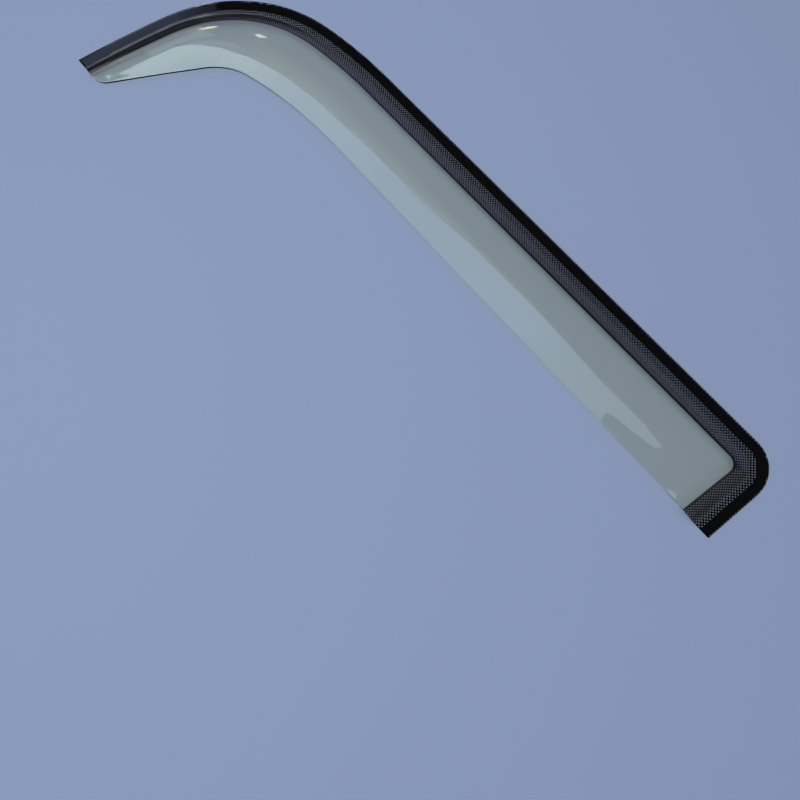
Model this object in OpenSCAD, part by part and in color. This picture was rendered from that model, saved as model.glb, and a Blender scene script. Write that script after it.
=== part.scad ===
// Window rain deflector for the left-hand door of a truck or van.
// One clear acrylic sheet, heat formed and trimmed: a flat bonding flange runs along
// the front pillar, the top and a short rear leg, a sloping riser lifts the sheet off
// the door, and a gently crowned pane ends in a free lower edge.
// It is drawn lying on its flange with the outer face up. X runs rearwards along the
// top edge, Y is up the door, Z is away from the door, and all sizes are millimetres.

/* [Sheet] */
// Thickness of the acrylic sheet
sheet_t = 3; // [2:0.1:4]

/* [Outer edge] */
// Straight length of the top edge
top_len = 577; // [400:1:720]
// Radius of the rear top corner
corner_r = 38; // [34:1:60]
// Radius of the slow bend that starts the sweep
crown_r = 660; // [540:10:900]
// Turn of the slow bend in degrees
crown_turn = 9; // [6:0.5:11]
// Radius of the main bend of the sweep
sweep_r = 220; // [180:5:270]
// Turn of the main bend in degrees
sweep_turn = 59.5; // [50:0.5:68]
// Radius of the front pillar stretch, which is nearly straight
pillar_r = 1500; // [1200:50:2500]
// Drop from the top edge to the cut front end
front_drop = 260; // [245:1:315]

/* [Band] */
// Width of the flat bonding flange
flange_w = 17; // [13:0.5:19]
// Half width of the rounded crease between flange and riser
crease_w = 2.5; // [1.5:0.5:4]
// Half width of the rounded shoulder between riser and pane
shoulder_w = 12; // [4:0.5:14]
// Width of flange and riser along the top
band_top = 31.5; // [26:0.5:38]
// Width of flange and riser round the sweep and down the pillar
band_sweep = 35; // [28:0.5:42]
// Width of flange and riser at the end of the rear leg
band_leg = 38; // [32:0.5:46]
// Lean of the riser's inner line on the rear leg in degrees
leg_lean = 2.5; // [0:0.1:4]
// Radius of the riser's inner corner
inner_r = 10; // [6:1:14]

/* [Pane] */
// Drop from the top edge to the free edge
pane_drop = 101.5; // [84:0.5:124]
// Radius of the free edge where it starts to bend
free_crown_r = 570; // [450:10:700]
// Turn of that bend in degrees
free_crown_turn = 14.5; // [10:0.5:17]
// Radius of the free edge round the sweep
free_sweep_r = 95; // [75:5:115]
// Turn of that bend in degrees
free_sweep_turn = 36; // [30:1:38]
// How far before the outer edge the free edge starts to bend
free_lead = 21.5; // [5:0.5:40]
// Radius of the rounded nose at the front end
nose_r = 26; // [15:1:35]
// Pane that is left beside the riser at both cut ends
end_lap = 6; // [4:0.5:10]

/* [Stand-off] */
// Height of the outer face where riser and pane meet, before that shoulder is rounded
stand_riser = 12; // [9:0.5:16]
// The same height at the end of the rear leg
stand_leg = 15; // [11:0.5:18]
// The same height at the front end
stand_nose = 9.5; // [8:0.5:14]
// Height of the outer face along the free edge, behind the middle of the top run
stand_free = 13; // [10:0.5:18]
// The same height where the free edge turns into the sweep
stand_sweep = 16.5; // [12:0.5:20]
// Radius of the pane's crown across its width
pane_r = 240; // [180:5:600]

/* [Hidden] */

// Rows of points across each stretch: leg, corner, top, slow bend, main bend, pillar
rows = [8, 12, 14, 8, 20, 14];
// Points across the crease, the riser and the pane
crease_steps = 4;
riser_steps = 6;
pane_steps = 10;

rad = PI / 180;

// A rail is a list of steps [length, turn]; a state is [x, y, heading].
function advance(at, len, turn) =
    let (r = turn == 0 ? 0 : len / (turn * rad))
    turn == 0
        ? [at[0] + len * cos(at[2]), at[1] + len * sin(at[2]), at[2]]
        : [
            at[0] + r * (sin(at[2] + turn) - sin(at[2])),
            at[1] - r * (cos(at[2] + turn) - cos(at[2])),
            at[2] + turn
        ];
function along(rail, at, s, i = 0) =
    let (len = rail[i][0], turn = rail[i][1])
    s <= len || i == len(rail) - 1
        ? advance(at, s, turn * s / len)
        : along(rail, advance(at, len, turn), s - len, i + 1);
function rail_len(rail, n) = n == 0 ? 0 : rail[n - 1][0] + rail_len(rail, n - 1);
function arc(r, turn) = [r * abs(turn) * rad, turn];
// The last arc of a rail, from a state down to the level of the cut front end
function arc_to_cut(r, at) = arc(r, acos(cos(at[2] - 180) - (at[1] + front_drop) / r) - at[2] + 180);

// Outer edge, from the end of the rear leg round to the cut front end
outer_bends = [
    [pane_drop - corner_r, 0],
    arc(corner_r, 90),
    [top_len, 0],
    arc(crown_r, crown_turn),
    arc(sweep_r, sweep_turn)
];
// The rail is laid out once from x = 0 to find its reach, and then centred
outer_try = [0, -pane_drop, 90];
outer_try_bent = along(outer_bends, outer_try, rail_len(outer_bends, 5));
outer_rail = concat(outer_bends, [arc_to_cut(pillar_r, outer_try_bent)]);
outer_reach = along(outer_rail, outer_try, rail_len(outer_rail, 6))[0];
rear_x = -outer_reach / 2;
crown_x = rear_x - corner_r - top_len;
outer_start = [rear_x, -pane_drop, 90];

// Line where riser and pane meet
inner_start = [rear_x - band_leg, -pane_drop, 90 - leg_lean];
inner_leg = (pane_drop - band_top - inner_r * (1 + sin(leg_lean))) / cos(leg_lean);
inner_corner = [[inner_leg, 0], arc(inner_r, 90 + leg_lean)];
inner_top = along(inner_corner, inner_start, rail_len(inner_corner, 2))[0] - crown_x;
inner_bends = concat(inner_corner, [
    [inner_top, 0],
    arc(crown_r - band_top, crown_turn),
    arc(sweep_r - band_sweep, sweep_turn)
]);
inner_bent = along(inner_bends, inner_start, rail_len(inner_bends, 5));
inner_rail = concat(inner_bends, [arc_to_cut(pillar_r - band_sweep, inner_bent)]);

// Free edge, from the rear leg to the rounded nose
free_start = [inner_start[0], -pane_drop, 180];
free_top = inner_start[0] - crown_x - free_lead;
free_turn = free_crown_turn + free_sweep_turn;
free_bends = [
    [free_top, 0],
    arc(free_crown_r, free_crown_turn),
    arc(free_sweep_r, free_sweep_turn)
];
free_bent = along(free_bends, free_start, rail_len(free_bends, 3));
free_slope = (free_bent[1] + front_drop - nose_r * (1 - cos(free_turn))) / sin(free_turn);
free_rail = concat(free_bends, [[free_slope, 0], arc(nose_r, -free_turn)]);

// Where the rows of the six stretches begin and end along each rail
outer_marks = [for (i = [0:6]) rail_len(outer_rail, i)];
inner_marks = [for (i = [0:6]) rail_len(inner_rail, i)];
free_fan = pane_drop - band_top;
free_crown = free_top + free_lead + (crown_r - pane_drop) * crown_turn * rad;
free_marks = [
    end_lap,
    end_lap + 0.35 * free_fan,
    end_lap + 0.95 * free_fan,
    free_top + free_lead,
    free_crown,
    free_crown + (sweep_r - pane_drop) * sweep_turn * rad,
    rail_len(free_rail, 5)
];
// Heights of the outer face on the riser's inner line and on the free edge at those marks
riser_z = [
    stand_leg,
    (stand_leg + stand_riser) / 2,
    stand_riser,
    stand_riser,
    stand_riser,
    stand_riser,
    stand_nose
];
free_z = [
    stand_leg,
    (stand_leg + 2 * stand_free) / 3,
    stand_free,
    (stand_free + stand_sweep) / 2,
    stand_sweep,
    (stand_sweep + stand_nose) / 2,
    stand_nose
];

function ease(f) = f * f * (3 - 2 * f);
function between(list, b, f) = list[b] + (list[b + 1] - list[b]) * f;
function eased(list, b, f) = between(list, b, ease(f));
function xy(state) = [state[0], state[1]];

// A corner between two slopes: height and slope of its rounding, within half a width of it
function round_off(x, half) = abs(x) < half ? (half - abs(x)) * (half - abs(x)) / (4 * half) : 0;
function round_slope(x, half) = abs(x) < half ? -sign(x) * (half - abs(x)) / (2 * half) : 0;
// One section across the sheet: plan point, height and slope of the outer face at each step
function section(b, f) =
    let (
        p = xy(along(outer_rail, outer_start, between(outer_marks, b, f))),
        r = xy(along(inner_rail, inner_start, between(inner_marks, b, f))),
        q = xy(along(free_rail, free_start, between(free_marks, b, f))),
        w = norm(r - p),
        zr = eased(riser_z, b, f),
        pane_w = norm(q - r),
        rise = eased(free_z, b, f) - zr,
        bow = pane_w * pane_w / (2 * pane_r),
        m1 = (zr - sheet_t) / (w - flange_w),
        turn = m1 - (rise + bow) / pane_w
    )
    concat(
        [for (d = concat(
            [0],
            [for (i = [0:crease_steps]) flange_w - crease_w + 2 * crease_w * i / crease_steps],
            [for (i = [1:riser_steps]) flange_w + crease_w + (w - flange_w - crease_w) * i / riser_steps]
        )) [
            p + (r - p) * d / w,
            sheet_t + m1 * (max(0, d - flange_w) + round_off(d - flange_w, crease_w))
                - turn * round_off(d - w, shoulder_w),
            m1 * ((d > flange_w ? 1 : 0) + round_slope(d - flange_w, crease_w))
                - turn * round_slope(d - w, shoulder_w)
        ]],
        [for (i = [1:pane_steps]) let (v = pow(i / pane_steps, 1.3), x = pane_w * v)
            [
                r + (q - r) * v,
                zr + rise * v + bow * v * (1 - v) - turn * round_off(x, shoulder_w),
                (rise + bow * (1 - 2 * v)) / pane_w - turn * round_slope(x, shoulder_w)
            ]
        ]
    );
// The same section as a closed ring: outer face one way, inner face back
function ring(b, f) =
    let (s = section(b, f), n = len(s))
    concat(
        [for (i = [0:n - 1]) [s[i][0][0], s[i][0][1], s[i][1]]],
        [for (i = [n - 1:-1:0]) [s[i][0][0], s[i][0][1], s[i][1] - sheet_t * sqrt(1 + s[i][2] * s[i][2])]]
    );

module deflector() {
    rings = [
        for (b = [0:5]) for (i = [0:rows[b] - (b == 5 ? 0 : 1)]) ring(b, i / rows[b])
    ];
    n = len(rings[0]);
    last = len(rings) - 1;
    faces = concat(
        [for (i = [0:last - 1]) for (j = [0:n - 1]) [i * n + j, i * n + (j + 1) % n, (i + 1) * n + j]],
        [for (i = [0:last - 1]) for (j = [0:n - 1])
            [i * n + (j + 1) % n, (i + 1) * n + (j + 1) % n, (i + 1) * n + j]],
        [for (j = [0:n / 2 - 2]) [j, n - 1 - j, j + 1]],
        [for (j = [0:n / 2 - 2]) [j + 1, n - 1 - j, n - 2 - j]],
        [for (j = [0:n / 2 - 2]) let (o = last * n) [o + j, o + j + 1, o + n - 1 - j]],
        [for (j = [0:n / 2 - 2]) let (o = last * n) [o + j + 1, o + n - 2 - j, o + n - 1 - j]]
    );
    color([0.62, 0.68, 0.70, 0.55])
    translate([0, front_drop / 2, 0])
    polyhedron(points = [for (r = rings) each r], faces = faces, convexity = 6);
}

deflector();
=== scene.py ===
# %% [markdown]
# # A window rain deflector
# A rain deflector is glued to the frame of a car door, above the side window. It keeps rain
# out while the window is open a little. The real one is a single sheet of tinted clear
# acrylic: it is cut to its outline, printed black along the band that is glued down, heated,
# and pressed over a mould.
# The CAD model gives the room that it takes up. This lesson makes the sheet again with a
# finer mesh, because a glossy sheet shows every flat facet, and then prints and lights it.

from math import acos, cos, pi, radians, sin

import bmesh
import bpy
from mathutils import Matrix, Vector


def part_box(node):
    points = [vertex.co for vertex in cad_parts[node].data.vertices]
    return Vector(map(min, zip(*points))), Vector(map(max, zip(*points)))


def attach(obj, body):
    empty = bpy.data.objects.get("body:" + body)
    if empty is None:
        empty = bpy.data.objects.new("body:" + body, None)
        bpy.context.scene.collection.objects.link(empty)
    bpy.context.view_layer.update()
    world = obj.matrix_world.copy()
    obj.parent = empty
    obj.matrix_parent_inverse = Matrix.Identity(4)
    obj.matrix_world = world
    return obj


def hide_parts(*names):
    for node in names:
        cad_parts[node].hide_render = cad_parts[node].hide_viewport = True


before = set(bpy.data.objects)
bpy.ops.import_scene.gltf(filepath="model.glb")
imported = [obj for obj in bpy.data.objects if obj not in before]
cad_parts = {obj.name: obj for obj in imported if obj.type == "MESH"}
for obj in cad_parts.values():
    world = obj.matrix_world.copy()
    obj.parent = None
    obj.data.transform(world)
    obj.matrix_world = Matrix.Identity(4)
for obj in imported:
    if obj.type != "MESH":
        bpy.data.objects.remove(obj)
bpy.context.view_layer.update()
lowest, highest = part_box("deflector")
MM = 0.001
print("CAD box in mm:", [round(v / MM, 1) for v in (*lowest, *highest)])

# %% [markdown]
# ## The sizes
# The sizes are the ones that a maker would put on the drawing, in millimetres. The length
# and the drop of the part are read from the CAD node's box, so that the sheet can't grow out
# of the room that it has. The box's height is only printed beside them.

# %% Sizes of the sheet, in millimetres
REAR_X = highest.x / MM
FRONT_DROP = (highest.y - lowest.y) / MM
TOP_Y = highest.y / MM
SHEET_T = 3

CORNER_R = 38
TOP_LENGTH = 577
CROWN_R, CROWN_TURN = 660, radians(9)
SWEEP_R, SWEEP_TURN = 220, radians(59.5)
PILLAR_R = 1500

FLANGE_W = 17
CREASE_W = 2.5
SHOULDER_W = 12
BAND_TOP, BAND_SWEEP, BAND_LEG = 31.5, 35, 38
LEG_LEAN = radians(2.5)
INNER_R = 10

PANE_DROP = 101.5
FREE_CROWN_R, FREE_CROWN_TURN = 570, radians(14.5)
FREE_SWEEP_R, FREE_SWEEP_TURN = 95, radians(36)
FREE_LEAD = 21.5
NOSE_R = 26
END_LAP = 6

STAND_RISER, STAND_LEG, STAND_NOSE = 12, 15, 9.5
STAND_FREE, STAND_SWEEP = 13, 16.5
PANE_R = 240
print("overall length, drop and stand in mm:", round(2 * REAR_X), round(FRONT_DROP), highest.z / MM)

# %% [markdown]
# ## Three rails
# A pattern maker draws such a part in plan as three smooth lines: the outer edge, the line
# where the riser meets the pane, and the free edge. Each line is straights and arcs that
# touch without a corner. A turtle draws them well: it knows where it is and where it heads,
# and each step is a length and a turn. A free-hand spline would need many points and would
# still wobble, and a glossy sheet shows each wobble.


# %% A rail of straights and arcs
def arc(radius, turn):
    """One step of a rail: the length of that arc and its turn."""
    return radius * abs(turn), turn


class Rail:
    """A line of straights and arcs, each a (length, turn), from an (x, y, heading)."""

    def __init__(self, start, steps):
        self.start, self.steps = start, steps

    def reach(self, count=None):
        """Length of the first steps, or of all of them."""
        return sum(length for length, _ in self.steps[:count])

    def at(self, s):
        """The (x, y, heading) at distance s along the rail."""
        x, y, heading = self.start
        for length, turn in self.steps:
            go = min(s, length)
            if turn == 0:
                x, y = x + go * cos(heading), y + go * sin(heading)
            else:
                end = heading + turn * go / length
                radius = length / turn
                x, y = x + radius * (sin(end) - sin(heading)), y - radius * (cos(end) - cos(heading))
                heading = end
            s -= go
            if s <= 0:
                break
        return x, y, heading

    def point(self, s):
        """The plan point at distance s."""
        return Vector(self.at(s)[:2])


def arc_to_level(rail, radius, level):
    """The arc that takes a rail on from its end down to y = level."""
    _, y, heading = rail.at(rail.reach())
    return arc(radius, acos(cos(heading - radians(180)) - (y - level) / radius) - heading + radians(180))


# %% The outer edge, from the end of the rear leg round to the cut front end
FRONT_Y = TOP_Y - FRONT_DROP
LEG_Y = TOP_Y - PANE_DROP
crown_x = REAR_X - CORNER_R - TOP_LENGTH
outer = Rail(
    (REAR_X, LEG_Y, radians(90)),
    [
        (PANE_DROP - CORNER_R, 0),
        arc(CORNER_R, radians(90)),
        (TOP_LENGTH, 0),
        arc(CROWN_R, CROWN_TURN),
        arc(SWEEP_R, SWEEP_TURN),
    ],
)
outer.steps.append(arc_to_level(outer, PILLAR_R, FRONT_Y))
print("outer edge in mm:", round(outer.reach()), "tip at x", round(outer.at(outer.reach())[0], 1))

# %% The line where riser and pane meet
inner = Rail(
    (REAR_X - BAND_LEG, LEG_Y, radians(90) - LEG_LEAN),
    [
        ((PANE_DROP - BAND_TOP - INNER_R * (1 + sin(LEG_LEAN))) / cos(LEG_LEAN), 0),
        arc(INNER_R, radians(90) + LEG_LEAN),
    ],
)
inner.steps += [
    (inner.at(inner.reach())[0] - crown_x, 0),
    arc(CROWN_R - BAND_TOP, CROWN_TURN),
    arc(SWEEP_R - BAND_SWEEP, SWEEP_TURN),
]
inner.steps.append(arc_to_level(inner, PILLAR_R - BAND_SWEEP, FRONT_Y))
print("riser line in mm:", round(inner.reach()))

# %% The free edge, from the rear leg to the rounded nose
free = Rail(
    (REAR_X - BAND_LEG, LEG_Y, radians(180)),
    [
        (REAR_X - BAND_LEG - crown_x - FREE_LEAD, 0),
        arc(FREE_CROWN_R, FREE_CROWN_TURN),
        arc(FREE_SWEEP_R, FREE_SWEEP_TURN),
    ],
)
free_turn = FREE_CROWN_TURN + FREE_SWEEP_TURN
nose_drop = NOSE_R * (1 - cos(free_turn))
free.steps += [
    ((free.at(free.reach())[1] - FRONT_Y - nose_drop) / sin(free_turn), 0),
    arc(NOSE_R, -free_turn),
]
print("free edge in mm:", round(free.reach()))

# %% [markdown]
# ## The section across the sheet
# Cut across, the sheet is flat where it is glued, then turns up in a short rounded crease,
# climbs the riser and runs over a wide rounded shoulder onto a gently crowned pane. Each
# section goes straight from the outer rail to the riser line and on to the free edge, so six
# matching stretches of the three rails carry all of them.

# %% Where the six stretches begin, and how high the sheet stands there
fan = PANE_DROP - BAND_TOP
free_crown = free.reach(1) + FREE_LEAD + (CROWN_R - PANE_DROP) * CROWN_TURN
outer_marks = [outer.reach(n) for n in range(7)]
inner_marks = [inner.reach(n) for n in range(7)]
free_marks = [
    END_LAP,
    END_LAP + 0.35 * fan,
    END_LAP + 0.95 * fan,
    free.reach(1) + FREE_LEAD,
    free_crown,
    free_crown + (SWEEP_R - PANE_DROP) * SWEEP_TURN,
    free.reach(),
]
riser_stand = [STAND_LEG, (STAND_LEG + STAND_RISER) / 2] + 4 * [STAND_RISER] + [STAND_NOSE]
free_stand = [
    STAND_LEG,
    (STAND_LEG + 2 * STAND_FREE) / 3,
    STAND_FREE,
    (STAND_FREE + STAND_SWEEP) / 2,
    STAND_SWEEP,
    (STAND_SWEEP + STAND_NOSE) / 2,
    STAND_NOSE,
]


def between(marks, stretch, part):
    """A value part of the way through a stretch."""
    return marks[stretch] + (marks[stretch + 1] - marks[stretch]) * part


def eased(marks, stretch, part):
    """The same, but level at both ends of the stretch."""
    return between(marks, stretch, part * part * (3 - 2 * part))


# %% One point of the sheet's outer face
def round_off(x, half):
    """How far a rounding of that half width takes the sheet off a corner between two slopes."""
    return max(0, half - abs(x)) ** 2 / (4 * half)


def sheet_point(stretch, part, zone, share):
    """(x, y, z) of the outer face, its distance from the outer edge, and that left to the riser line."""
    edge = outer.point(between(outer_marks, stretch, part))
    riser = inner.point(between(inner_marks, stretch, part))
    lip = free.point(between(free_marks, stretch, part))
    width, pane = (riser - edge).length, (lip - riser).length
    stand = eased(riser_stand, stretch, part)
    rise = eased(free_stand, stretch, part) - stand
    bow = pane * pane / (2 * PANE_R)
    climb = (stand - SHEET_T) / (width - FLANGE_W)
    turn = climb - (rise + bow) / pane
    first, last = {
        "flange": (0, FLANGE_W - CREASE_W),
        "crease": (FLANGE_W - CREASE_W, FLANGE_W + CREASE_W),
        "riser": (FLANGE_W + CREASE_W, width),
        "pane": (width, width + pane),
    }[zone]
    d = first + (last - first) * share
    if zone == "pane":
        place, z = riser.lerp(lip, share), stand + rise * share + bow * share * (1 - share)
    else:
        place = edge.lerp(riser, d / width)
        z = SHEET_T + climb * (max(0, d - FLANGE_W) + round_off(d - FLANGE_W, CREASE_W))
    return Vector((*place, z - turn * round_off(d - width, SHOULDER_W))), d, width - d


# %% [markdown]
# ## The sheet
# The sheet starts as one flat grid, as the real one starts as a flat blank: its rows run
# across and its columns along. Every grid point is then moved to its place on the form. The
# columns lie close together in the crease, where the light turns fastest. Solidify gives the
# blank its 3 mm, and a small bevel rounds the rim as flame polishing does.
# The print follows the form, so each point keeps what the print needs in two attributes:
# where it lies on the band, and its place on the flat blank that was printed. Down the pillar
# the print ends short of the riser line and its solid part grows wider. PRINT_SHORT and
# SOLID_EXTRA say by how much, at the seven ends of the six stretches.

# %% How far the mesh is divided, and where the print lies, in millimetres
ROWS = [20, 36, 110, 34, 84, 44]
COLUMNS = {"flange": 5, "crease": 8, "riser": 9, "pane": 26}
ROW_COUNT, COLUMN_COUNT = sum(ROWS), sum(COLUMNS.values())
FIRST_SPECKS = 0.6  # from the rim to the middles of the first row of specks
SOLID_W = 10.8  # from the rim to the start of the field
PRINT_SHORT = [0, 0, 0, 0, 0, 1.2, 2.4]
SOLID_EXTRA = [0, 0, 0, 0, 0, 0.8, 2.6]
print("rows and columns:", ROW_COUNT, COLUMN_COUNT)


# %% Each section, formed and laid out flat again
def find(index, sizes):
    """Which of some runs a count falls in, and how far along that run it is."""
    for n, size in enumerate(sizes):
        if index <= size or n == len(sizes) - 1:
            return n, index / size
        index -= size


def section(row):
    """For each point of a row: its place, where it lies on the band, and its place on the blank."""
    stretch, part = find(row, ROWS)
    edge = outer.point(between(outer_marks, stretch, part))
    across = (inner.point(between(inner_marks, stretch, part)) - edge).normalized()
    edge.y -= TOP_Y - FIRST_SPECKS
    points, unrolled = [], 0
    for column in range(COLUMN_COUNT + 1):
        zone, share = find(column, COLUMNS.values())
        place, from_edge, to_riser_line = sheet_point(stretch, part, list(COLUMNS)[zone], share)
        if points:
            unrolled += (place - points[-1][0]).length
        to_print_end = to_riser_line - eased(PRINT_SHORT, stretch, part)
        past_solid = from_edge - SOLID_W - eased(SOLID_EXTRA, stretch, part)
        on_band = (from_edge, to_print_end, past_solid)
        points.append((place, on_band, (*(edge + across * unrolled), 0)))
    return points


sections = [section(row) for row in range(ROW_COUNT + 1)]
print("flat width of the first, middle and last row in mm:", end=" ")
for row in (0, ROW_COUNT // 2, ROW_COUNT):
    flat = [Vector(point[2]) for point in sections[row]]
    print(round((flat[-1] - flat[0]).length, 1), end=" ")
print()

# %% The blank, moved onto its form
blank = bmesh.new()
bmesh.ops.create_grid(blank, x_segments=ROW_COUNT, y_segments=COLUMN_COUNT, size=0.5)
band = blank.verts.layers.float_vector.new("band_mm")
on_blank = blank.verts.layers.float_vector.new("blank_mm")
for vert in blank.verts:
    row, column = round((vert.co.x + 0.5) * ROW_COUNT), round((vert.co.y + 0.5) * COLUMN_COUNT)
    place, vert[band], vert[on_blank] = sections[row][column]
    vert.co = place * MM
blank.normal_update()
print("grid:", ROW_COUNT, "by", COLUMN_COUNT, "faces look up:", sum(f.normal.z > 0 for f in blank.faces))

# %% Its thickness, and the rounded rim
RIM_ROUND = 0.5
OUTER_FACE, BACK_FACE, RIM_FACE = 0, 1, 2
bmesh.ops.solidify(blank, geom=blank.faces[:], thickness=SHEET_T * MM)
bmesh.ops.recalc_face_normals(blank, faces=blank.faces)


def face_kind(face):
    """The outer face looks up, the back looks down and the rim looks aside."""
    if abs(face.normal.z) < 0.5:
        return RIM_FACE
    return OUTER_FACE if face.normal.z > 0 else BACK_FACE


for face in blank.faces:
    face.material_index = face_kind(face)
rim_edges = [
    e for e in blank.edges
    if any(f.material_index == RIM_FACE for f in e.link_faces) and e.calc_face_angle() > radians(40)
]
bmesh.ops.bevel(
    blank, geom=rim_edges, offset=RIM_ROUND * MM, offset_type="OFFSET", segments=2,
    profile=0.5, affect="EDGES", material=-1, clamp_overlap=True,
)
for face in blank.faces:
    face.smooth = True
print("rim edges:", len(rim_edges), "faces:", len(blank.faces))
print("volume in cm3:", round(blank.calc_volume() * 1e6, 1))

# %% The finished piece
sheet_mesh = bpy.data.meshes.new("acrylic_sheet")
blank.to_mesh(sheet_mesh)
blank.free()
sheet = bpy.data.objects.new("acrylic_sheet", sheet_mesh)
bpy.context.collection.objects.link(sheet)
sheet_mesh.set_sharp_from_angle(angle=radians(50))
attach(sheet, "root")
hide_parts("deflector")
sheet_mesh.calc_loop_triangles()
print("triangles:", len(sheet_mesh.loop_triangles))

# %% [markdown]
# ## Colours and nodes
# A colour is written as the hex value that a screen shows. Blender's sockets want linear
# light, so one function turns the one into the other. A second one adds a node with its
# settings and links, so that a material reads as a short list.


# %% Helpers for colours and nodes
def linear(hex_value):
    """An sRGB hex colour such as "8C9ABD" as linear RGBA."""
    channels = [int(hex_value[i : i + 2], 16) / 255 for i in (0, 2, 4)]
    return (*(c / 12.92 if c <= 0.04045 else ((c + 0.055) / 1.055) ** 2.4 for c in channels), 1)


def node(tree, kind, settings=(), **inputs):
    """Adds a node. settings are its own properties, inputs are values or sockets by socket name."""
    new = tree.nodes.new(kind)
    for name, value in dict(settings).items():
        setattr(new, name, value)
    for name, value in inputs.items():
        socket = new.inputs[int(name[1:])] if name[1:].isdigit() else new.inputs[name.replace("_", " ")]
        if isinstance(value, bpy.types.NodeSocket):
            tree.links.new(value, socket)
        else:
            socket.default_value = value
    return new


def material(name):
    """An empty node material, with its tree and its output."""
    made = bpy.data.materials.new(name)
    made.use_nodes = True
    made.node_tree.nodes.clear()
    return made, made.node_tree, made.node_tree.nodes.new("ShaderNodeOutputMaterial")


# %% [markdown]
# ## The tinted acrylic
# Cast acrylic with a grey-green tint lets most light through and mirrors lamps sharply on
# both of its faces. Its IOR is 1.49. The shader tints the light by the root of its base
# colour at each face, so the base colour is what one pass through the sheet leaves.
# Light that comes back from the floor under the sheet would have to find its way through two
# bent faces to a lamp, which a path tracer seldom manages. For rays on their way to a lamp,
# the sheet is plain see-through. Its tint there is fainter, as light also gets in under the
# free edge and is thrown to and fro between sheet and floor.

# %% Clear acrylic, cast and heat formed
PASS_TINT = (0.94, 0.93, 0.785, 1)
LAMP_TINT = (0.975, 0.98, 0.91, 1)
ACRYLIC_IOR = 1.49


def acrylic(tree, out, tint, lamp_tint, transmission, roughness, gloss):
    """Glossy clear sheet, which is see-through to rays that look for lamps."""
    glass = node(
        tree, "ShaderNodeBsdfPrincipled",
        Base_Color=tint, Roughness=roughness, IOR=ACRYLIC_IOR, Transmission_Weight=transmission,
        Specular_IOR_Level=gloss,
    )
    see_through = node(tree, "ShaderNodeBsdfTransparent", Color=lamp_tint)
    path = node(tree, "ShaderNodeLightPath")
    lamps = node(
        tree, "ShaderNodeMixShader",
        i0=path.outputs["Is Shadow Ray"], i1=glass.outputs[0], i2=see_through.outputs[0],
    )
    bounced = node(
        tree, "ShaderNodeMixShader",
        i0=path.outputs["Is Diffuse Ray"], i1=lamps.outputs[0], i2=see_through.outputs[0],
    )
    tree.links.new(bounced.outputs[0], out.inputs["Surface"])


clear_acrylic, tree, out = material("tinted_acrylic_cast_heat_formed")
acrylic(tree, out, PASS_TINT, LAMP_TINT, 1.0, 0.02, 0.5)

# %% [markdown]
# ## The printed back
# The band that hides the glue is screen printed in black on the back, before forming. It is
# solid on the outer part of the flange. From there a field of small clear specks leads to a
# thin solid line at the riser's end, and the rim cuts through one more row of them, which
# leaves fine teeth. The specks are 2.6 mm apart, on a square lattice turned by 45 degrees.
# The print is seen through the gloss of the sheet: where it lies, the back mirrors nothing.
# Little light gets under the print, so the specks are duller than the pane: their tint is a painted shade,
# darker and more purple than the pane's.
# A stencil of 0 and 1 is worked out from what the mesh keeps at each point.

# %% Sizes of the print in millimetres, its colours, and the painted shade of its specks
TEETH_W = 0.9  # the strip along the rim where specks are open
SPECK_PITCH, SPECK_R = 2.6, 0.67
LINE_FROM, LINE_TO = 3.8, 1.4  # the solid line, measured back from the print's end
INK = linear("060607")
# Painted shade: the specks' tint is darker than the pane's, for the shaded floor seen through them; it is
# also more purple.
SPECK_PAINTED_SHADE = (0.62, 0.5, 0.61, 1)
print("share of a field that is clear:", round(pi * (SPECK_R / SPECK_PITCH) ** 2, 2))

# %% How far each point is from the middle of its speck
printed_acrylic, tree, out = material("tinted_acrylic_black_screen_print")
stored = node(tree, "ShaderNodeAttribute", {"attribute_name": "band_mm"})
distances = node(tree, "ShaderNodeSeparateXYZ", Vector=stored.outputs["Vector"])
from_edge, to_print_end, past_solid = (distances.outputs[axis] for axis in "XYZ")

flat_place = node(tree, "ShaderNodeAttribute", {"attribute_name": "blank_mm"})
turned = node(
    tree, "ShaderNodeMapping",
    Vector=flat_place.outputs["Vector"], Rotation=(0, 0, radians(45)), Scale=3 * (1 / SPECK_PITCH,),
).outputs[0]
VECTORS = "ShaderNodeVectorMath"
cell = node(tree, VECTORS, {"operation": "FRACTION"}, i0=turned).outputs[0]
off_centre = node(tree, VECTORS, {"operation": "SUBTRACT"}, i0=cell, i1=(0.5, 0.5, 0)).outputs[0]
in_plan = node(tree, VECTORS, {"operation": "MULTIPLY"}, i0=off_centre, i1=(1, 1, 0)).outputs[0]
reach = node(tree, VECTORS, {"operation": "LENGTH"}, i0=in_plan).outputs["Value"]

# %% The stencil: where the specks are open, where there is ink, and where it is clear
MATH = "ShaderNodeMath"
speck = node(tree, MATH, {"operation": "LESS_THAN"}, i0=reach, i1=SPECK_R / SPECK_PITCH).outputs[0]
after_solid = node(tree, MATH, {"operation": "GREATER_THAN"}, i0=past_solid, i1=0.0).outputs[0]
before_line = node(tree, MATH, {"operation": "GREATER_THAN"}, i0=to_print_end, i1=LINE_FROM).outputs[0]
on_riser = node(tree, MATH, {"operation": "MULTIPLY"}, i0=after_solid, i1=before_line).outputs[0]
at_rim = node(tree, MATH, {"operation": "LESS_THAN"}, i0=from_edge, i1=TEETH_W).outputs[0]
in_field = node(tree, MATH, {"operation": "MAXIMUM"}, i0=on_riser, i1=at_rim).outputs[0]
open_speck = node(tree, MATH, {"operation": "MULTIPLY"}, i0=in_field, i1=speck).outputs[0]
in_band = node(tree, MATH, {"operation": "GREATER_THAN"}, i0=to_print_end, i1=LINE_TO).outputs[0]
left_closed = node(tree, MATH, {"operation": "SUBTRACT"}, i0=1.0, i1=open_speck).outputs[0]
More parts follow.
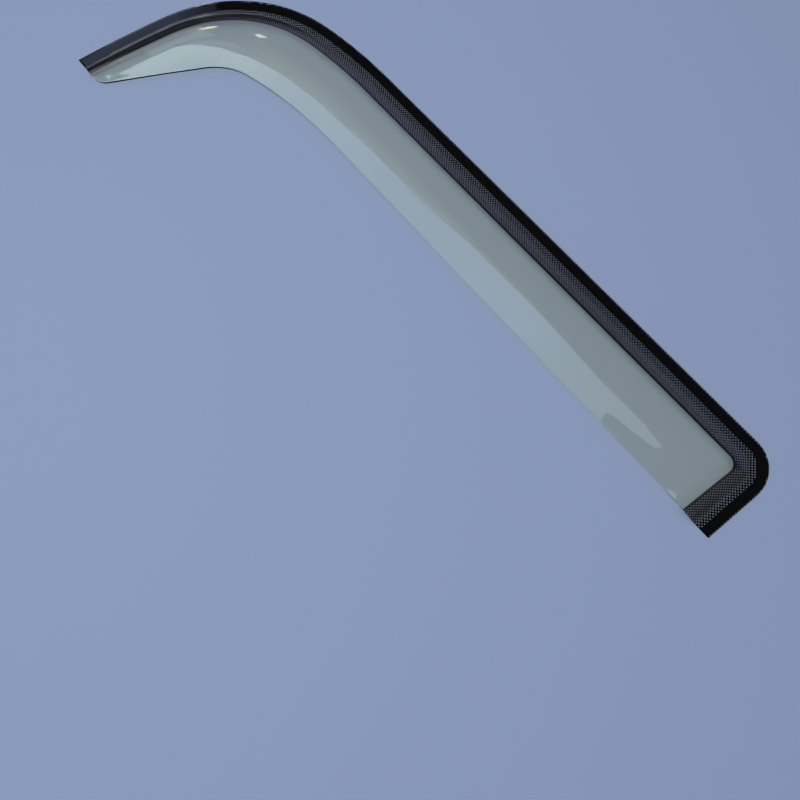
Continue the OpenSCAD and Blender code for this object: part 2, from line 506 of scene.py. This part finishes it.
ink = node(tree, MATH, {"operation": "MULTIPLY"}, i0=in_band, i1=left_closed).outputs[0]
clear = node(tree, MATH, {"operation": "SUBTRACT"}, i0=1.0, i1=ink).outputs[0]

# %% Black screen print on the back face, with painted shade in its specks
COLOURS = {"data_type": "RGBA"}
# In the band the clear tint gives way to the specks' painted shade.
tint_or_painted_speck_shade = node(tree, "ShaderNodeMix", COLOURS, i0=in_band, i6=PASS_TINT, i7=SPECK_PAINTED_SHADE).outputs[2]
acrylic(
    tree, out,
    tint=node(tree, "ShaderNodeMix", COLOURS, i0=ink, i6=tint_or_painted_speck_shade, i7=INK).outputs[2],
    lamp_tint=node(tree, "ShaderNodeMix", COLOURS, i0=ink, i6=LAMP_TINT, i7=(0, 0, 0, 1)).outputs[2],
    transmission=clear,
    roughness=node(tree, MATH, {"operation": "MULTIPLY_ADD"}, i0=ink, i1=0.5, i2=0.02).outputs[0],
    gloss=node(tree, MATH, {"operation": "MULTIPLY_ADD"}, i0=in_band, i1=-0.5, i2=0.5).outputs[0],
)
for made in (clear_acrylic, printed_acrylic, clear_acrylic):
    sheet_mesh.materials.append(made)
print("materials:", [m.name for m in sheet_mesh.materials])

# %% [markdown]
# ## The floor
# The part lies on its flange on a plain, pale blue-lavender surface. The floor goes on far
# beyond the picture, so that it also fills the view from a low camera. The steep riser
# mirrors the floor beside it, and that mirror image is dark, so mirror rays see the floor in
# a darker colour: painted shade, as if stand and lamps shaded it there. It lies 0.2 mm below
# the flange, so that no two faces share a place.

# %% Matte pale floor, with a painted shade for mirror rays
FLOOR_HALF = 20.0
FLOOR_GAP = 0.2

floor_bm = bmesh.new()
bmesh.ops.create_grid(floor_bm, x_segments=1, y_segments=1, size=FLOOR_HALF)
floor_mesh = bpy.data.meshes.new("floor")
floor_bm.to_mesh(floor_mesh)
floor_bm.free()
floor_mesh.transform(Matrix.Translation((0, 0, -FLOOR_GAP * MM)))
floor = bpy.data.objects.new("floor", floor_mesh)
bpy.context.collection.objects.link(floor)

matte_floor, tree, out = material("matte_painted_board")
FLOOR = linear("8C9ABD")
# Painted shade: mirror rays see the floor in this darker colour.
FLOOR_PAINTED_SHADE_MIRRORED = linear("3A404C")
path = node(tree, "ShaderNodeLightPath")
floor_or_painted_shade = node(
    tree, "ShaderNodeMix", COLOURS,
    i0=path.outputs["Is Reflection Ray"], i6=FLOOR, i7=FLOOR_PAINTED_SHADE_MIRRORED,
)
surface = node(
    tree, "ShaderNodeBsdfPrincipled",
    Base_Color=floor_or_painted_shade.outputs[2], Roughness=1.0, Specular_IOR_Level=0.0,
)
tree.links.new(surface.outputs[0], out.inputs["Surface"])
floor_mesh.materials.append(matte_floor)
print("floor, metres across:", 2 * FLOOR_HALF, "colour:", [round(c, 3) for c in FLOOR[:3]])

# %% [markdown]
# ## The camera
# The photograph looks almost straight down from 0.8 m, turned so that the long edge runs
# from the top left to the bottom right. Its place and its angles were worked out from the
# photograph: the slant of the floor, the corners of the part and the heights of its edges
# agree in one place only.

# %% The camera
CAMERA_AT = Vector((335.807, -86.139, 800)) * MM
VIEW_TILT = radians(-8.6383)
VIEW_ROLL = radians(-10.0608)
EDGE_RIGHT, EDGE_DOWN = 0.675093, 0.73773264
LENS, SENSOR = 33.75, 36


def on_floor(right, down, deep):
    """A direction of the level picture (right, down and into the floor), in the frame."""
    return Vector((
        right * EDGE_RIGHT + down * EDGE_DOWN,
        right * EDGE_DOWN - down * EDGE_RIGHT,
        -deep,
    ))


picture_right = on_floor(cos(VIEW_ROLL), -sin(VIEW_ROLL) * sin(VIEW_TILT), -sin(VIEW_ROLL) * cos(VIEW_TILT))
picture_down = on_floor(0, cos(VIEW_TILT), -sin(VIEW_TILT))
looking = on_floor(sin(VIEW_ROLL), cos(VIEW_ROLL) * sin(VIEW_TILT), cos(VIEW_ROLL) * cos(VIEW_TILT))
camera = bpy.data.objects.new("camera", bpy.data.cameras.new("camera"))
camera.data.lens, camera.data.sensor_width = LENS, SENSOR
turn = Matrix((picture_right, -picture_down, -looking)).transposed()
camera.matrix_world = Matrix.Translation(CAMERA_AT) @ turn.to_4x4()
bpy.context.collection.objects.link(camera)
bpy.context.scene.camera = camera
print("camera looks along", [round(v, 3) for v in looking])

# %% [markdown]
# ## The light
# A broad soft lamp overhead does most of the work. It is hidden from mirror rays, as if it
# were much larger and fainter. A glossy sheet shows its surroundings as much as itself, so
# the rest of this chapter builds what it mirrors: a bluish panel, like sky in a big window,
# whose near edge draws the sharp line along the pane, and a dim room with pale walls.

# %% The soft key, straight overhead
DAYLIGHT = (0.89, 0.90, 0.853)
KEY_SOFTNESS = radians(105)
KEY_PART = 0.46
WHITE_SUN = pi

key = bpy.data.objects.new("soft_key", bpy.data.lights.new("soft_key", "SUN"))
key.data.energy = WHITE_SUN * KEY_PART
key.data.angle = KEY_SOFTNESS

# %% A nearer soft box at the left, so that the floor grows darker to the right
BOX_AT, BOX_ACROSS, BOX_WATTS = (-0.19, -0.48, 1.6), 2.4, 23.8
box = bpy.data.objects.new("soft_box", bpy.data.lights.new("soft_box", "AREA"))
box.data.shape, box.data.size = "DISK", BOX_ACROSS
box.data.energy = BOX_WATTS
box.location = BOX_AT
for lamp in (key, box):
    lamp.data.color = DAYLIGHT
    lamp.visible_glossy = lamp.visible_transmission = False
    bpy.context.collection.objects.link(lamp)
    print(lamp.name, "energy:", round(lamp.data.energy, 2))

# %% [markdown]
# A flat mirror on the floor would show the camera a point of the ceiling. The slope of that
# line of sight, sideways and up the picture, is an easy way to say where a lamp has to be to
# show in the sheet. Each lamp here is a panel high up, cut to an outline of such slopes. It
# is seen in the gloss only and casts no light on the floor. Clear sheet mirrors a lamp twice:
# on its outer face, and on its back, where the light returns through the sheet and counts as
# a transmitted ray. A panel may be made for the one or the other alone.

# %% Panels for the sheet to mirror
PANEL_H = 2500
PATH_UP = PANEL_H * MM + CAMERA_AT.z


def panel(name, slopes, glossy=True, through=True, lift=0):
    """A panel for the outer face to mirror (glossy), the back face (through), or both."""
    outline = bmesh.new()
    corners = [
        outline.verts.new((CAMERA_AT.x + a * PATH_UP, CAMERA_AT.y + b * PATH_UP, (PANEL_H + lift) * MM))
        for a, b in slopes
    ]
    bmesh.ops.contextual_create(outline, geom=corners)
    mesh = bpy.data.meshes.new(name)
    outline.to_mesh(mesh)
    outline.free()
    made = bpy.data.objects.new(name, mesh)
    made.visible_camera = made.visible_diffuse = made.visible_shadow = False
    made.visible_glossy, made.visible_transmission = glossy, through
    bpy.context.collection.objects.link(made)
    print("panel", name, "with", len(slopes), "corners")
    return made


# %% What a panel shines with
def set_stops(ramp, stops):
    """Gives a colour ramp its (position, colour) stops."""
    while len(ramp.color_ramp.elements) < len(stops):
        ramp.color_ramp.elements.new(1)
    for stop, (position, colour) in zip(ramp.color_ramp.elements, stops):
        stop.position, stop.color = position, (*colour, 1)


def glow(lamp, stops, strength):
    """Lights a panel. Each stop is a slope sideways and the colour there."""
    made, tree, out = material(lamp.name + "_light")
    place = node(tree, "ShaderNodeTexCoord").outputs["Object"]
    sideways = node(tree, "ShaderNodeSeparateXYZ", Vector=place).outputs["X"]
    first, last = stops[0][0], stops[-1][0]
    along = node(
        tree, "ShaderNodeMapRange", Value=sideways,
        From_Min=CAMERA_AT.x + first * PATH_UP, From_Max=CAMERA_AT.x + last * PATH_UP,
    ).outputs[0]
    ramp = node(tree, "ShaderNodeValToRGB", Fac=along)
    set_stops(ramp, [((slope - first) / (last - first), colour) for slope, colour in stops])
    light = node(tree, "ShaderNodeEmission", Color=ramp.outputs[0], Strength=strength)
    tree.links.new(light.outputs[0], out.inputs["Surface"])
    lamp.data.materials.append(made)


# %% The bluish panel, whose outline starts with its near edge
SKY_SLOPES = [
    (0.03, 0.125), (-0.005, 0.169), (-0.071, 0.158), (-0.134, 0.19), (-0.2, 0.213), (-0.334, 0.212),
    (-0.38, 0.18), (-0.433, 0.173), (-0.534, 0.183), (-0.6, 0.157), (-0.693, 0.172), (-0.76, 0.155),
    (-0.81, 0.14), (-0.848, 0.122), (-0.868, 0.1), (-0.897, 0.104), (-0.95, 0.113), (-1.0, 0.106),
    (-1.03, 0.09), (-1.045, 0.03), (-1.035, -0.01), (-1.02, -0.055), (-0.985, -0.085),
    (-0.94, -0.1), (-0.9, -0.105), (-0.8, -0.3), (-1.3, -1.6), (-0.3, -1.6), (-0.03, -0.6),
    (-0.035, -0.15), (-0.04, -0.06), (-0.03, -0.03), (0.0, 0.0), (0.027, 0.045), (0.028, 0.08),
]

# %% Its light, brighter in the back face than in the outer one towards the front
SKY_STRENGTH = 5.0
SKY = [
    (-1.1, (0.11, 0.14, 0.22)), (-0.9, (0.11, 0.14, 0.22)), (-0.6, (0.22, 0.28, 0.42)),
    (-0.2, (0.23, 0.29, 0.44)), (-0.1, (0.19, 0.23, 0.3)), (0.1, (0.16, 0.19, 0.19)),
]
SKY_THROUGH = [
    (-1.1, (0.78, 0.94, 1.0)), (-0.88, (0.78, 0.94, 1.0)), (-0.76, (0.58, 0.72, 0.82)),
    (-0.6, (0.38, 0.46, 0.62)), (-0.45, (0.23, 0.29, 0.44)), (-0.2, (0.23, 0.29, 0.44)),
    (-0.1, (0.19, 0.23, 0.3)), (0.1, (0.16, 0.19, 0.19)),
]
glow(panel("sky_panel", SKY_SLOPES, through=False), SKY, SKY_STRENGTH)
glow(panel("sky_panel_through", SKY_SLOPES, glossy=False), SKY_THROUGH, SKY_STRENGTH)

# %% A faint corner of it, beyond its near edge at the front
CORNER_SLOPES = [
    (-0.868, 0.1), (-0.88, 0.158), (-0.93, 0.17), (-1.04, 0.16), (-1.03, 0.09), (-1.0, 0.106),
    (-0.95, 0.113), (-0.897, 0.104),
]
CORNER = [(-1.04, (0.4, 0.55, 0.9)), (-0.93, (0.4, 0.55, 0.9)), (-0.88, (0.1, 0.12, 0.2))]
glow(panel("sky_panel_corner", CORNER_SLOPES, through=False), CORNER, 1.0)

# %% A lamp beyond the front end, for the light line on the crease
LINE_SLOPES = [(-1.05, 0.0), (-1.04, 0.2), (-1.65, 0.4), (-2.1, 0.56), (-2.1, 0.17), (-1.5, 0.07)]
LINE = [(-2.1, (0.8, 0.9, 1.0)), (-1.0, (0.8, 0.9, 1.0))]
glow(panel("front_lamp", LINE_SLOPES, through=False), LINE, 1.0)

# %% [markdown]
# Beyond the near edge of the bluish panel the clear pane still shows a haze that fades. Four
# panels, each within the last and a little lower, make it in steps.

# %% The haze beyond the near edge
NEAR_EDGE = SKY_SLOPES[1:18]
HAZE_SPREAD, HAZE_GAP = 0.26, 4
HAZE = [(-1.06, (0.85, 1.0, 0.91)), (-0.4, (0.85, 1.0, 0.91)), (0.0, (0.45, 0.55, 0.6))]
for step, strength in ((1.0, 0.4), (0.75, 0.8), (0.5, 1.2), (0.25, 1.6)):
    spread = [(a, b - step * HAZE_SPREAD * a) for a, b in NEAR_EDGE]
    haze = panel(f"haze_panel_{strength}", spread + NEAR_EDGE[::-1], glossy=False, lift=step * HAZE_GAP)
    glow(haze, HAZE, strength)

# %% Two small spots, which make the glints at the front
spot = panel("warm_spot", [(-1.44, 0.34), (-1.6, 0.37), (-1.6, 0.46), (-1.44, 0.42)])
glow(spot, [(-1.6, (1.0, 0.98, 0.63)), (-1.4, (1.0, 0.98, 0.63))], 10.0)
spot = panel("warm_spot_tail", [(-1.2, 0.21), (-1.23, 0.2), (-1.48, 0.4), (-1.44, 0.42)])
glow(spot, [(-1.48, (1.0, 1.0, 0.8)), (-1.2, (0.5, 0.5, 0.45))], 2.5)
spot = panel("white_spot", [(-1.02, 0.36), (-1.06, 0.36), (-1.06, 0.4), (-1.02, 0.4)])
glow(spot, [(-1.1, (1.0, 1.0, 1.0)), (-1.0, (1.0, 1.0, 1.0))], 5.0)

# %% [markdown]
# The room is lit low down by its pale walls and dark above, so the printed band stays
# black. To mirror rays the walls are lower and bluer still. Beyond the front end stands a
# bright one, which draws the thin light line on the crease there, and beyond the rear end a
# tall grey one, which lies evenly on the riser of the rear leg. Heights are the upward part
# of a direction of length 1.

# %% Pale walls low down and a dark ceiling
WALL = linear("A9B4CC")
CEILING = linear("1A1C22")
WALL_TOP, CEILING_FROM = 0.25, 0.5
print("walls fade out between", WALL_TOP, "and", CEILING_FROM)

# %% The walls as the sheet mirrors them: height and colour
MIRRORED = [
    (0.0, (0.04, 0.04, 0.05)), (0.07, (0.1, 0.1, 0.12)), (0.15, (0.3, 0.31, 0.38)),
    (0.25, (0.54, 0.55, 0.8)), (0.4, (0.46, 0.48, 0.76)), (0.52, (0.1, 0.1, 0.15)),
    (0.6, (0.045, 0.047, 0.06)),
]
FRONT_WALL = [
    (0.0, (0.04, 0.04, 0.05)), (0.2, (0.05, 0.05, 0.06)), (0.25, (0.9, 0.95, 1.0)),
    (0.42, (0.9, 0.95, 1.0)), (0.47, (0.05, 0.05, 0.06)), (0.6, (0.04, 0.042, 0.055)),
]
REAR_WALL = [
    (0.0, (0.04, 0.04, 0.05)), (0.2, (0.2, 0.2, 0.26)), (0.36, (0.22, 0.22, 0.29)),
    (0.42, (0.42, 0.43, 0.5)), (0.75, (0.42, 0.43, 0.5)), (0.85, (0.04, 0.042, 0.055)),
]
FRONT_SPREAD, REAR_SPREAD = -0.3, 0.8
print("spread of the front and rear walls to each side:", -FRONT_SPREAD, REAR_SPREAD)

# %% The room that lights the sheet
world = bpy.data.worlds.new("studio")
bpy.context.scene.world = world
world.use_nodes = True
tree = world.node_tree
tree.nodes.clear()
direction = node(tree, "ShaderNodeTexCoord").outputs["Generated"]
heading = node(tree, "ShaderNodeSeparateXYZ", Vector=direction)
height = heading.outputs["Z"]
rising = node(
    tree, "ShaderNodeMapRange", {"interpolation_type": "SMOOTHSTEP"},
    Value=height, From_Min=WALL_TOP, From_Max=CEILING_FROM,
).outputs[0]
room = node(tree, "ShaderNodeMix", COLOURS, i0=rising, i6=WALL, i7=CEILING).outputs[2]

# %% The same room as the sheet mirrors it
walls = []
for stops in (MIRRORED, FRONT_WALL, REAR_WALL):
    ramp = node(tree, "ShaderNodeValToRGB", Fac=height)
    set_stops(ramp, stops)
    walls.append(ramp.outputs[0])
dim = walls[0]
aside = node(tree, MATH, {"operation": "ABSOLUTE"}, i0=heading.outputs["Y"]).outputs[0]
for wall, spread in zip(walls[1:], (FRONT_SPREAD, REAR_SPREAD)):
    ahead = node(tree, MATH, {"operation": "MULTIPLY"}, i0=heading.outputs["X"], i1=spread).outputs[0]
    off_wall = node(tree, MATH, {"operation": "SUBTRACT"}, i0=aside, i1=ahead).outputs[0]
    beside = node(tree, "ShaderNodeMapRange", Value=off_wall, From_Min=-0.02, From_Max=0.02).outputs[0]
    dim = node(tree, "ShaderNodeMix", COLOURS, i0=beside, i6=wall, i7=dim).outputs[2]

path = node(tree, "ShaderNodeLightPath")
seen = node(tree, "ShaderNodeMix", COLOURS, i0=path.outputs["Is Glossy Ray"], i6=room, i7=dim).outputs[2]
background = node(tree, "ShaderNodeBackground", Color=seen, Strength=1.0)
node(tree, "ShaderNodeOutputWorld", Surface=background.outputs[0])
print("world nodes:", len(tree.nodes))

# %% Colours are shown as they are
bpy.context.scene.view_settings.view_transform = "Standard"
